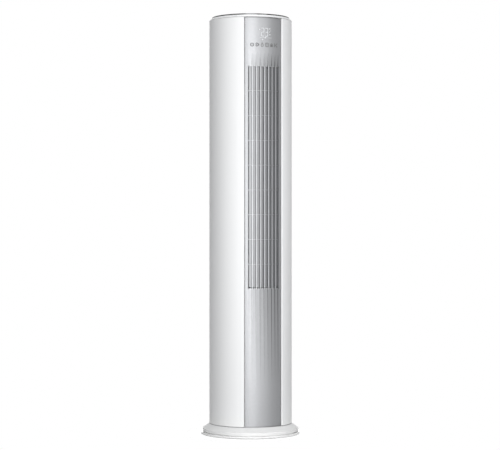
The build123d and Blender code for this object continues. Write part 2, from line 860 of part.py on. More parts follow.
with BuildPart() as tube_sheets:
    with BuildSketch(Plane.XY.offset(coil_bottom)):
        for edge, side in ((coil_start, -1), (coil_finish, 1)):
            RingSector(
                coil_inner_radius - sheet_margin + pan_wall,
                coil_outer_radius + sheet_margin - pan_wall,
                min(edge, edge + side * sheet_angle),
                max(edge, edge + side * sheet_angle),
            )
    extrude(amount=coil_top - coil_bottom)
finish(tube_sheets, "tube_sheets")

coil_middle = (coil_inner_radius + coil_outer_radius) / 2
bend_pitch = (coil_top - coil_bottom) / (bend_count + 2)

with BuildPart() as evaporator_bends:
    end_angle = coil_finish + sheet_angle
    centre = spot(coil_middle, end_angle)
    turn = math.radians(end_angle)
    for bend in range(bend_count):
        height = coil_bottom + bend_pitch * (bend + 1.5)
        bend_plane = Plane(
            origin=(*centre, height),
            x_dir=(math.sin(turn), -math.cos(turn), 0),
            z_dir=(math.cos(turn), math.sin(turn), 0),
        )
        with BuildSketch(bend_plane):
            with Locations((0, bend_radius)):
                Circle(bend_tube_radius)
        hinge_line = Axis(bend_plane.origin, bend_plane.x_dir)
        revolve(axis=hinge_line, revolution_arc=180)
finish(evaporator_bends, "evaporator_bends")

# ---------------------------------------------------------------- refrigerant pipes


def finish_pipe(name, start_circle, start_height, foot, radius):
    """Pipe from the coil end forwards and then straight down to its flare nut."""
    with BuildLine() as path:
        FilletPolyline(
            (*spot(start_circle, pipe_start_angle), start_height),
            (foot.X, foot.Y, start_height),
            (foot.X, foot.Y, pipe_end_height),
            radius=pipe_bend,
        )
    route = path.line
    with BuildPart() as pipe:
        with BuildSketch(Plane(origin=route @ 0, z_dir=route % 0)):
            Circle(radius)
        sweep(path=route)
    finish(pipe, name)


finish_pipe("gas_pipe", gas_circle, gas_pipe_start, gas_foot, gas_pipe_radius)
finish_pipe("liquid_pipe", liquid_circle, liquid_pipe_start, liquid_foot, liquid_pipe_radius)

bracket_shelf = pipe_end_height + nut_height + bracket_rise

with BuildPart() as flare_nuts:
    for foot, radius in pipe_feet:
        with BuildSketch(Plane.XY.offset(pipe_end_height - nut_height / 3)):
            with Locations((foot.X, foot.Y)):
                RegularPolygon(radius * nut_share + nut_wall, hexagon_sides)
                Circle(radius + seat_gap / 2, mode=Mode.SUBTRACT)
        extrude(amount=nut_height)
finish(flare_nuts, "flare_nuts")

foot_gap = gas_foot - liquid_foot
bracket_turn = math.degrees(math.atan2(foot_gap.Y, foot_gap.X))
bracket_middle = (gas_foot + liquid_foot) / 2
bracket_length = foot_gap.length + gas_pipe_radius * 4
bracket_depth = gas_pipe_radius * 3
bracket_place = Location((bracket_middle.X, bracket_middle.Y, 0), (0, 0, bracket_turn))

with BuildPart() as pipe_bracket:
    with BuildSketch(Plane.XY.offset(bracket_shelf)):
        with Locations(bracket_place):
            Rectangle(bracket_length, bracket_depth)
        for foot, radius in pipe_feet:
            with Locations((foot.X, foot.Y)):
                Circle(radius + seat_gap, mode=Mode.SUBTRACT)
    extrude(amount=bracket_wall)
    with BuildSketch(Plane.XY.offset(bracket_shelf)):
        with Locations(bracket_place * Location((0, bracket_depth / 2 + bracket_wall / 2, 0))):
            Rectangle(bracket_length * bracket_web_share, bracket_wall + bracket_fuse)
    extrude(amount=lower_bulkhead_bottom - bracket_shelf)
finish(pipe_bracket, "pipe_bracket")

# ---------------------------------------------------------------- fan

fan_bottom = lower_bulkhead_top + fan_end_gap
fan_top = upper_bulkhead_bottom - fan_end_gap
motor_top = lower_bulkhead_bottom
shaft_depth = motor_height * 0.6

with BuildPart() as cross_flow_fan:
    with BuildSketch(Plane.XY.offset(fan_bottom)):
        with Locations((0, fan_y)):
            with PolarLocations(fan_radius - fan_blade_radius, fan_blade_count):
                RingSector(
                    fan_blade_radius - fan_blade_wall,
                    fan_blade_radius,
                    90 - fan_blade_arc,
                    90 + fan_blade_arc,
                )
    extrude(amount=fan_top - fan_bottom)
    for disc in range(fan_disc_count):
        level = fan_bottom + (fan_top - fan_bottom - fan_disc_wall) * disc / (fan_disc_count - 1)
        with BuildSketch(Plane.XY.offset(level)):
            with Locations((0, fan_y)):
                Circle(fan_radius + fan_blade_wall)
        extrude(amount=fan_disc_wall)
    with BuildSketch(Plane.XY.offset(fan_bottom - fan_end_gap - plate_wall - shaft_depth)):
        with Locations((0, fan_y)):
            Circle(shaft_radius)
    extrude(amount=fan_end_gap + plate_wall + shaft_depth + fan_disc_wall)
    with BuildSketch(Plane.XY.offset(fan_top - fan_disc_wall)):
        with Locations((0, fan_y)):
            Circle(shaft_radius)
    extrude(amount=fan_disc_wall + fan_end_gap + bearing_height)
finish(cross_flow_fan, "cross_flow_fan")

with BuildPart() as fan_motor:
    with BuildSketch(Plane.XY.offset(motor_top - motor_height)):
        with Locations((0, fan_y)):
            Circle(motor_radius)
    extrude(amount=motor_height)
    fillet(fan_motor.edges().group_by(Axis.Z)[0], radius=motor_radius / 8)
    with BuildSketch(Plane.XY.offset(motor_top - plate_wall)):
        with Locations((0, fan_y)):
            Circle(motor_radius + motor_flange)
            with PolarLocations(motor_radius + motor_flange / 2, motor_screw_count, start_angle=45):
                Circle(screw_radius, mode=Mode.SUBTRACT)
    extrude(amount=plate_wall)
    with BuildSketch(Plane.XY.offset(motor_top)):
        with Locations((0, fan_y)):
            Circle(shaft_radius + pin_clearance)
    extrude(amount=-shaft_depth - shaft_end_room, mode=Mode.SUBTRACT)
finish(fan_motor, "fan_motor")

with BuildPart() as fan_bearing:
    with BuildSketch(Plane.XY.offset(upper_bulkhead_bottom)):
        with Locations((0, fan_y)):
            Circle(bearing_radius)
            Circle(shaft_radius + pin_clearance, mode=Mode.SUBTRACT)
    extrude(amount=bearing_height)
    with BuildSketch(Plane.XY.offset(upper_bulkhead_top)):
        with Locations((0, fan_y)):
            Circle(bearing_radius + bearing_flange)
            Circle(shaft_radius + pin_clearance, mode=Mode.SUBTRACT)
    extrude(amount=bearing_height - plate_wall)
finish(fan_bearing, "fan_bearing")

# ---------------------------------------------------------------- swing louvres

crank_bottom = end_bar_low + bar_height + rest_gap
crank_top = crank_bottom + crank_height
link_bottom = crank_top + rest_gap
link_top = link_bottom + link_height
blade_bottom = link_top + louvre_bar_gap
blade_top = end_bar_high - louvre_bar_gap
bar_clear = bar_height / 2 + louvre_bar_gap
cell_bottoms = [blade_bottom] + [level + bar_clear for level in bar_levels]
cell_tops = [level - bar_clear for level in bar_levels] + [blade_top]
crank_direction = 90 - crank_rest_angle
crank_turn = math.radians(crank_direction)
crank_offset = Vector(math.cos(crank_turn), math.sin(crank_turn)) * crank_length


def louvre_section():
    """Dished blade section with a round leading edge; its pivot is the origin, -y is outwards."""
    front = -louvre_thickness / 2
    edge = front - louvre_dish
    nose_x = louvre_nose_radius - louvre_half_chord
    tip_outer = edge + louvre_edge_wall / 2
    tip_inner = edge + louvre_edge_wall * 3 / 2
    with BuildSketch() as section:
        with BuildLine():
            ThreePointArc((nose_x, edge), (0, front), (louvre_half_chord, tip_outer))
            Line((louvre_half_chord, tip_outer), (louvre_half_chord, tip_inner))
            ThreePointArc(
                (louvre_half_chord, tip_inner),
                (0, -front),
                (nose_x, edge + 2 * louvre_nose_radius),
            )
            ThreePointArc(
                (nose_x, edge + 2 * louvre_nose_radius),
                (-louvre_half_chord, edge + louvre_nose_radius),
                (nose_x, edge),
            )
        make_face()
    return section.sketch


def crank_arm(pivot, length, width):
    """Flat arm from a pivot to its crank pin at rest."""
    middle = Vector(*pivot) + crank_offset / 2
    with BuildSketch() as arm:
        with Locations(Location((middle.X, middle.Y, 0), (0, 0, crank_direction))):
            SlotCenterToCenter(length, width)
    return arm.sketch


blade_section = louvre_section()
for number, angle in enumerate(slot_angles, start=1):
    pivot = spot(louvre_circle, angle)
    crank_end = Vector(*pivot) + crank_offset
    with BuildPart() as louvre:
        with BuildSketch(Plane.XY.offset(end_bar_low)):
            with Locations(pivot):
                Circle(louvre_pin_radius)
        extrude(amount=end_bar_high + bar_height - end_bar_low)
        for cell_bottom, cell_top in zip(cell_bottoms, cell_tops):
            with BuildSketch(Plane.XY.offset(cell_bottom)):
                with Locations(Location((*pivot, 0), (0, 0, angle + louvre_rest_tilt))):
                    add(blade_section)
            extrude(amount=cell_top - cell_bottom)
        with BuildSketch(Plane.XY.offset(crank_bottom)):
            add(crank_arm(pivot, crank_length, crank_width))
        extrude(amount=crank_height)
        with BuildSketch(Plane.XY.offset(crank_top)):
            with Locations((crank_end.X, crank_end.Y)):
                Circle(crank_pin_radius)
        extrude(amount=link_top - crank_top)
    finish(louvre, f"louvre_{number}")

drive_pivot = spot(louvre_circle - drive_setback, 0)
drive_end = Vector(*drive_pivot) + crank_offset
link_rail_circle = louvre_circle - link_setback
drive_arm_middle = spot(louvre_circle - (link_setback + drive_setback) / 2, 0)

with BuildPart() as louvre_link:
    with BuildSketch(Plane.XY.offset(link_bottom)):
        with Locations((crank_offset.X, crank_offset.Y)):
            RingSector(
                link_rail_circle - link_width / 2,
                link_rail_circle + link_width / 2,
                slot_angles[0] - link_end_angle,
                slot_angles[-1] + link_end_angle,
            )
            for angle in slot_angles:
                finger = Vector(*spot(louvre_circle - link_setback / 2, angle))
                with Locations(Location((finger.X, finger.Y, 0), (0, 0, angle + 90))):
                    SlotCenterToCenter(link_setback, link_width)
            with Locations(Location((*drive_arm_middle, 0), (0, 0, 90))):
                SlotCenterToCenter(drive_setback - link_setback, link_width * drive_arm_share)
            with Locations([spot(louvre_circle, angle) for angle in slot_angles] + [drive_pivot]):
                Circle(crank_pin_radius + pin_clearance, mode=Mode.SUBTRACT)
    extrude(amount=link_height)
finish(louvre_link, "louvre_link")

with BuildPart() as louvre_crank:
    with BuildSketch(Plane.XY.offset(crank_bottom)):
        add(crank_arm(drive_pivot, crank_length, crank_width * drive_crank_share))
    extrude(amount=crank_height)
    with BuildSketch(Plane.XY.offset(crank_top)):
        with Locations((drive_end.X, drive_end.Y)):
            Circle(crank_pin_radius)
    extrude(amount=link_top - crank_top)
    with BuildSketch(Plane.XY.offset(lower_bulkhead_bottom - stepper_height / 4)):
        with Locations(drive_pivot):
            Circle(drive_shaft_radius)
    extrude(amount=crank_bottom - lower_bulkhead_bottom + stepper_height / 4)
finish(louvre_crank, "louvre_crank")

with BuildPart() as louvre_motor:
    with BuildSketch(Plane.XY.offset(lower_bulkhead_bottom)):
        with Locations(drive_pivot):
            Circle(stepper_radius)
            SlotCenterToCenter(stepper_radius * stepper_ear_share, stepper_radius / 2)
    extrude(amount=-board_wall)
    with BuildSketch(Plane.XY.offset(lower_bulkhead_bottom)):
        with Locations(drive_pivot):
            Circle(stepper_radius)
    extrude(amount=-stepper_height)
    with BuildSketch(Plane.XY.offset(lower_bulkhead_bottom)):
        with Locations(drive_pivot):
            Circle(drive_shaft_radius + pin_clearance)
    extrude(amount=-stepper_height / 2, mode=Mode.SUBTRACT)
finish(louvre_motor, "louvre_motor")

# ---------------------------------------------------------------- tilting vanes


def lens_outline(length, thickness):
    """Slim blade section, thickest in the middle and sharp at both edges."""
    with BuildSketch() as outline:
        with BuildLine():
            ThreePointArc((-length / 2, 0), (0, thickness / 2), (length / 2, 0))
            ThreePointArc((length / 2, 0), (0, -thickness / 2), (-length / 2, 0))
        make_face()
    return outline.sketch


vane_half = duct_half_width - vane_end_gap
vane_pin_reach = duct_half_width + duct_wall + vane_pin_end
ear_inner_x = vane_ear_x
ear_outer_x = vane_ear_x + vane_ear_wall
rod_inner_x = ear_outer_x + rest_gap
rod_outer_x = rod_inner_x + vane_link_depth

for number, level in enumerate(bar_levels, start=1):
    with BuildPart() as vane:
        with BuildSketch(Plane.YZ.offset(-vane_half)):
            with Locations((vane_pivot_y, level)):
                add(lens_outline(vane_chord, vane_thickness))
        extrude(amount=2 * vane_half)
        with BuildSketch(Plane.YZ.offset(-vane_pin_reach)):
            with Locations((vane_pivot_y, level)):
                Circle(vane_pin_radius)
        extrude(amount=2 * vane_pin_reach)
        with BuildSketch(Plane.YZ.offset(ear_inner_x)):
            with Locations((vane_pivot_y + vane_crank / 2, level)):
                SlotCenterToCenter(vane_crank, vane_crank_width)
        extrude(amount=vane_ear_wall)
        with BuildSketch(Plane.YZ.offset(ear_outer_x)):
            with Locations((vane_pivot_y + vane_crank, level)):
                Circle(vane_crank_pin_radius)
        extrude(amount=rod_outer_x - ear_outer_x)
    finish(vane, f"vane_{number}")

with BuildPart() as vane_link:
    with BuildSketch(Plane.YZ.offset(rod_inner_x)):
        rod_length = bar_levels[-1] - bar_levels[0] + vane_crank_width
        with Locations((vane_pivot_y + vane_crank, (bar_levels[0] + bar_levels[-1]) / 2)):
            Rectangle(vane_link_width, rod_length)
        with Locations([(vane_pivot_y + vane_crank, level) for level in bar_levels]):
            Circle(vane_crank_pin_radius + pin_clearance, mode=Mode.SUBTRACT)
    extrude(amount=rod_outer_x - rod_inner_x)
finish(vane_link, "vane_link")

with BuildPart() as vane_motor:
    motor_face = Plane(
        origin=(-duct_half_width - duct_wall, vane_pivot_y, bar_levels[0]),
        x_dir=(0, 1, 0),
        z_dir=(-1, 0, 0),
    )
    with BuildSketch(motor_face):
        Circle(stepper_radius)
        SlotCenterToCenter(stepper_radius * stepper_ear_share, stepper_radius / 2, rotation=90)
    extrude(amount=board_wall)
    with BuildSketch(motor_face):
        Circle(stepper_radius)
    extrude(amount=stepper_height)
    with BuildSketch(motor_face):
        Circle(vane_pin_radius + pin_clearance)
    extrude(amount=stepper_height / 2, mode=Mode.SUBTRACT)
finish(vane_motor, "vane_motor")

# ---------------------------------------------------------------- filter

filter_outer = filter_radius + filter_frame_depth
filter_start = rear_post_start + rear_wall_angle + filter_gap_angle
filter_end = 360 - filter_start
filter_bar_angle = math.degrees(filter_bar / filter_radius)
filter_height = upper_bulkhead_top - lower_bulkhead_bottom
window_height = (filter_height - filter_bar) / filter_rows - filter_bar
window_angle = (filter_end - filter_start - filter_bar_angle) / filter_columns - filter_bar_angle

with BuildPart() as intake_filter:
    with BuildSketch(Plane.XY.offset(lower_bulkhead_bottom)):
        RingSector(filter_radius, filter_outer, filter_start, filter_end)
    extrude(amount=upper_bulkhead_top - lower_bulkhead_bottom)
    for row in range(filter_rows):
        base_level = lower_bulkhead_bottom + filter_bar + (window_height + filter_bar) * row
        with BuildSketch(Plane.XY.offset(base_level)):
            for column in range(filter_columns):
                begin = filter_start + filter_bar_angle + (window_angle + filter_bar_angle) * column
                RingSector(filter_radius - 1, filter_outer + 1, begin, begin + window_angle)
        extrude(amount=window_height, mode=Mode.SUBTRACT)
    with BuildSketch(Plane.XY.offset(lower_bulkhead_bottom)):
        mesh_inner = filter_radius + filter_frame_depth / 2
        RingSector(mesh_inner, mesh_inner + filter_mesh_wall, filter_start, filter_end)
    extrude(amount=upper_bulkhead_top - lower_bulkhead_bottom)
finish(intake_filter, "intake_filter")

# ---------------------------------------------------------------- display and keys

block_corner = display_block_width / 2
block_front = -math.sqrt(panel_inner**2 - block_corner**2) + rest_gap
board_corner = display_width / 2
board_front = -math.sqrt(panel_inner**2 - board_corner**2) + 2 * rest_gap

with BuildPart() as display_board:
    with BuildSketch(Plane.XZ.offset(-board_front - board_wall)):
        with Locations((0, display_height)):
            RectangleRounded(display_width, display_tall, board_corner_radius)
    extrude(amount=board_wall)
    with BuildSketch(Plane.XZ.offset(-board_front)):
        with Locations((0, display_height)):
            Rectangle(display_block_width, display_block_tall)
    extrude(amount=board_front - block_front)
finish(display_board, "display_board")

key_angles = [key_pitch * (key - (key_count - 1) / 2) for key in range(key_count)]
key_xs = [spot(panel_inner, angle)[0] for angle in key_angles]
key_board_half = key_xs[-1] + key_radius * 2
key_board_front = -math.sqrt(panel_inner**2 - key_board_half**2) + 2 * rest_gap

with BuildPart() as touch_board:
    with BuildSketch(Plane.XZ.offset(-key_board_front - board_wall)):
        with Locations((0, key_height)):
            Rectangle(2 * key_board_half, key_radius * 4)
    extrude(amount=board_wall)
    for key_x in key_xs:
        key_front = -math.sqrt(panel_inner**2 - (abs(key_x) + key_radius) ** 2) + rest_gap
        with BuildSketch(Plane.XZ.offset(-key_board_front)):
            with Locations((key_x, key_height)):
                Circle(key_radius)
        extrude(amount=key_board_front - key_front)
finish(touch_board, "touch_board")

# ---------------------------------------------------------------- control box


with BuildPart() as control_box:
    with BuildSketch(Plane.XY.offset(upper_bulkhead_top)):
        with Locations((0, box_y)):
            Rectangle(box_width, box_depth)
    extrude(amount=box_tall)
    with BuildSketch(Plane.XY.offset(upper_bulkhead_top + box_wall)):
        with Locations((0, box_y)):
            Rectangle(box_width - 2 * box_wall, box_depth - 2 * box_wall)
    extrude(amount=box_tall, mode=Mode.SUBTRACT)
finish(control_box, "control_box")

with BuildPart() as control_box_lid:
    with BuildSketch(Plane.XY.offset(upper_bulkhead_top + box_tall)):
        with Locations((0, box_y)):
            Rectangle(box_width + 2 * box_wall, box_depth + 2 * box_wall)
    extrude(amount=box_wall)
    with BuildSketch(Plane.XY.offset(upper_bulkhead_top + box_tall)):
        with Locations((0, box_y)):
            Rectangle(box_width - 2 * box_wall - 2 * seat_gap, box_depth - 2 * box_wall - 2 * seat_gap)
            Rectangle(box_width - 5 * box_wall, box_depth - 5 * box_wall, mode=Mode.SUBTRACT)
    extrude(amount=-box_wall * 3)
finish(control_box_lid, "control_box_lid")

board_level = upper_bulkhead_top + box_wall + standoff_height

with BuildPart() as main_board:
    with BuildSketch(Plane.XY.offset(upper_bulkhead_top + box_wall)):
        with Locations((0, box_y)):
            with GridLocations(box_width - 2 * standoff_inset_x, box_depth - 2 * standoff_inset_y, 2, 2):
                Circle(standoff_radius)
    extrude(amount=standoff_height)
    with BuildSketch(Plane.XY.offset(board_level)):
        with Locations((0, box_y)):
            Rectangle(box_width - 2 * board_margin_x, box_depth - 2 * board_margin_y)
    extrude(amount=board_wall)
    with BuildSketch(Plane.XY.offset(board_level + board_wall)):
        with Locations((transformer_x, box_y)):
            Rectangle(transformer_width, transformer_depth)
        with Locations((heat_sink_x, box_y + heat_sink_y)):
            Rectangle(heat_sink_width, heat_sink_depth)
    extrude(amount=tall_part_height)
finish(main_board, "main_board")

block_place = spot(terminal_circle, gland_angle - terminal_lead_angle)
block_back = block_place[0] - bracket_wall / 2

with BuildPart() as terminal_block:
    with BuildSketch(Plane.XY.offset(chassis_top)):
        with Locations(block_place):
            Rectangle(terminal_foot_width, terminal_foot_length)
    extrude(amount=bracket_wall)
    with BuildSketch(Plane.XY.offset(chassis_top)):
        with Locations(block_place):
            Rectangle(bracket_wall, terminal_foot_length)
    extrude(amount=pipe_hole_height)
    with BuildSketch(Plane.YZ.offset(block_back)):
        with Locations((block_place[1], chassis_top + terminal_height)):
            Rectangle(terminal_length, terminal_tall)
    extrude(amount=-terminal_depth)
    with BuildSketch(Plane.YZ.offset(block_back - terminal_depth)):
        with Locations((block_place[1], chassis_top + terminal_height)):
            with GridLocations(terminal_pitch, 1, terminal_count, 1):
                Circle(terminal_hole_radius)
    extrude(amount=terminal_hole_depth, mode=Mode.SUBTRACT)
finish(terminal_block, "terminal_block")
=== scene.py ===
import bmesh
import bpy
import json
import math
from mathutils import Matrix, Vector


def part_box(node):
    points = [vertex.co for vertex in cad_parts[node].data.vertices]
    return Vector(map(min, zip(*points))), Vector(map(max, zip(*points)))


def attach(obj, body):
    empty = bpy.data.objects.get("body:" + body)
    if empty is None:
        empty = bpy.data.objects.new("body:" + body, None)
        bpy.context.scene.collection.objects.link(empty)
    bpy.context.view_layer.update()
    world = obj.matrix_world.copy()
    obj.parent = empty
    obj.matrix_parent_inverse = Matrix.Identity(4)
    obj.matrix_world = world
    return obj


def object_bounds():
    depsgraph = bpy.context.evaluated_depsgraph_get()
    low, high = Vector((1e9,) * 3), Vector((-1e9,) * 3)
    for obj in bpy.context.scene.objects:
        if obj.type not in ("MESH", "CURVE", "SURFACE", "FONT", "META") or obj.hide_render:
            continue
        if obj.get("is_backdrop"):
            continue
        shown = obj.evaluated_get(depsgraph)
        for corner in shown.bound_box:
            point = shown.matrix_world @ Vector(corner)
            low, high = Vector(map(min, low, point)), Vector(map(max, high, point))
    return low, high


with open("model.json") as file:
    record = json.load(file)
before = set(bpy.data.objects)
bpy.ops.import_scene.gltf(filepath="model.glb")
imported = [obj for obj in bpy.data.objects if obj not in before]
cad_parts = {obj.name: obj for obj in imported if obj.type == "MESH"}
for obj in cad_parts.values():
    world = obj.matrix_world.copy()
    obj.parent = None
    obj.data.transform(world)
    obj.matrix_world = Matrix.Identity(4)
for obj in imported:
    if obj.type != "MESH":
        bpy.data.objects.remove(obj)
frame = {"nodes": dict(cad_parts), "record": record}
cad_low, cad_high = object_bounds()

# Metres, in the CAD frame: the front faces -Y and +Z is up. Angles round the cabinet are in degrees
# from the front, positive towards +X.


def mm(value):
    return value / 1000


def middle_height(node):
    """The height of a node's middle."""
    low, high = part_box(node)
    return (low.z + high.z) / 2


# The photograph's view: level, from the front left, and a little to the left of the line to the axis.
camera_azimuth = -20.5
camera_distance = 7.27
camera_height = 0.9355
camera_shift_left = mm(2.5)
camera_lens = 116.4
camera_reach = 100

# The studio. A softbox has its angle from the camera's side, its distance from the axis, its height, the
# width and the tall side of its face, and its power in watts. All face the middle of the object.
world_colour = (0.97, 0.985, 1.0)
world_strength = 0.20
light_aim_height = 0.93
upright_box = dict(distance=3.6, height=1.3, width=1.0, tall=2.6)
softboxes = {
    "key_front": dict(upright_box, angle=-6, power=52),
    "key_beside": dict(upright_box, angle=8, power=48),
    "key_right": dict(upright_box, angle=40, power=31),
    "low_front": dict(angle=0, distance=3.4, height=0.4, width=2.0, tall=0.6, power=14),
    "high_front": dict(angle=0, distance=1.4, height=4.0, width=2.0, tall=1.6, power=14),
    "overhead": dict(angle=180, distance=0.1, height=4.4, width=1.2, tall=1.2, power=22),
    "back": dict(upright_box, angle=180, power=60),
}

# The floor round the base: where it starts to fade and where it is gone, and how far it is lifted towards
# white.
base_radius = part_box("base_plinth")[1].x
floor_radius = 9.0
floor_sides = 96
floor_fade_start = base_radius + mm(7)
floor_fade_end = base_radius + mm(79)
floor_lift = 0.35

# Painted shade at the joint between the covers and the base, which lies in shadow, and how softly its
# edges fade.
seam_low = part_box("front_panel")[0].z - mm(0.1)
seam_high = seam_low + mm(3)
seam_fade_low = mm(0.1)
seam_fade_high = mm(0.5)
seam_shade_colour = (0.22, 0.22, 0.225)

# Painted shade in the grooves of the silver parts: how far round a point other surfaces count, and
# how open the point is, from 0 to 1, where a crease is full and where it ends.
crease_reach = mm(6)
crease_samples = 8
crease_full = 0.55
crease_end = 0.95
crease_shade_colour = (0.05, 0.05, 0.052)

# Worn or paler edges: how pointed the surface is where they start and where they are full.
edge_start = 0.52
edge_full = 0.60

# The panel's surface and the marks on it, in front of their boards. The pitch of the keys is an angle.
panel_radius = -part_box("front_panel")[0].y
mark_rise = mm(0.12)
mark_root = mm(0.4)
display_height = middle_height("display_board")
digit_width = mm(12.0)
digit_height = mm(35.0)
digit_gap = mm(6.2)
digit_stroke = mm(3.1)
digit_corner = mm(3.4)
percent_ring_radius = mm(2.3)
percent_ring_stroke = mm(1.9)
percent_bar_width = mm(5.6)
percent_bar_height = mm(10)
percent_bar_stroke = mm(1.8)
level_length = mm(57)
level_stroke = mm(1.2)
level_rise = mm(-24.5)
cursor_radius = mm(3.0)
dot_radius = mm(2.7)
key_height = middle_height("touch_board") + mm(2.7)
key_pitch = 7.35
key_size = mm(16.5)
key_stroke = mm(2.7)

# How the marks are drawn: the longest step along a stroke, how near two ends meet as one point, and the
# least cosine of a mitre, which keeps a sharp corner from growing a spike.
stroke_step = mm(1.5)
same_point = mm(0.01)
least_mitre_cosine = 0.5
corner_steps = 4
arc_steps = 20


def at_angle(angle, radius, height):
    """A point on the circle of this radius at an angle from the front."""
    turn = math.radians(angle)
    return Vector((radius * math.sin(turn), -radius * math.cos(turn), height))


def combined(tree, operation, first, second=None):
    """A maths node on one value or two, each a number or what another node gives."""
    node = tree.nodes.new("ShaderNodeMath")
    node.operation = operation
    for socket, value in zip(node.inputs, (first, second)):
        if isinstance(value, float):
            socket.default_value = value
        elif value is not None:
            tree.links.new(value, socket)
    return node.outputs[0]


# ---------------------------------------------------------------- camera


def make_camera():
    """The level camera of the photograph."""
    turn = math.radians(camera_azimuth)
    back = Vector((math.sin(turn), -math.cos(turn), 0))
    left = Vector((-math.cos(turn), -math.sin(turn), 0))
    data = bpy.data.cameras.new("camera")
    data.lens = camera_lens
    data.clip_end = camera_reach
    camera = bpy.data.objects.new("camera", data)
    camera.location = back * camera_distance + left * camera_shift_left + Vector((0, 0, camera_height))
    camera.rotation_mode = "QUATERNION"
    camera.rotation_quaternion = (-back).to_track_quat("-Z", "Y")
    bpy.context.scene.collection.objects.link(camera)
    bpy.context.scene.camera = camera


make_camera()

# ---------------------------------------------------------------- lights, world and view


def make_softbox(name, angle, distance, height, width, tall, power):
    data = bpy.data.lights.new(name, "AREA")
    data.shape = "RECTANGLE"
    data.size = width
    data.size_y = tall
    data.energy = power
    light = bpy.data.objects.new(name, data)
    light.location = at_angle(camera_azimuth + angle, distance, height)
    aim = Vector((0, 0, light_aim_height)) - light.location
    light.rotation_mode = "QUATERNION"
    light.rotation_quaternion = aim.to_track_quat("-Z", "Y")
    light.visible_camera = False
    bpy.context.scene.collection.objects.link(light)


for name, sizes in softboxes.items():
    make_softbox(name, **sizes)


def seen_share(tree):
    """1 for a ray from the camera, or one that gloss or glass sends on, and 0 for any other."""
    path = tree.nodes.new("ShaderNodeLightPath")
    seen = path.outputs["Is Camera Ray"]
    for kind in ("Is Glossy Ray", "Is Transmission Ray"):
        seen = combined(tree, "MAXIMUM", seen, path.outputs[kind])
    return seen


def make_world():
    """Soft ambient light, with the white studio where the camera, gloss or glass sees past everything."""
    world = bpy.data.worlds.new("studio")
    world.use_nodes = True
    tree = world.node_tree
    tree.nodes.clear()
    output = tree.nodes.new("ShaderNodeOutputWorld")
    mix = tree.nodes.new("ShaderNodeMixShader")
    ambient = tree.nodes.new("ShaderNodeBackground")
    white = tree.nodes.new("ShaderNodeBackground")
    ambient.inputs["Color"].default_value = (*world_colour, 1)
    ambient.inputs["Strength"].default_value = world_strength
    white.inputs["Color"].default_value = (1, 1, 1, 1)
    tree.links.new(seen_share(tree), mix.inputs["Fac"])
    tree.links.new(ambient.outputs[0], mix.inputs[1])
    tree.links.new(white.outputs[0], mix.inputs[2])
    tree.links.new(mix.outputs[0], output.inputs["Surface"])
    bpy.context.scene.world = world


make_world()
bpy.context.scene.view_settings.view_transform = "Standard"
bpy.context.scene.view_settings.look = "None"

# ---------------------------------------------------------------- material helpers


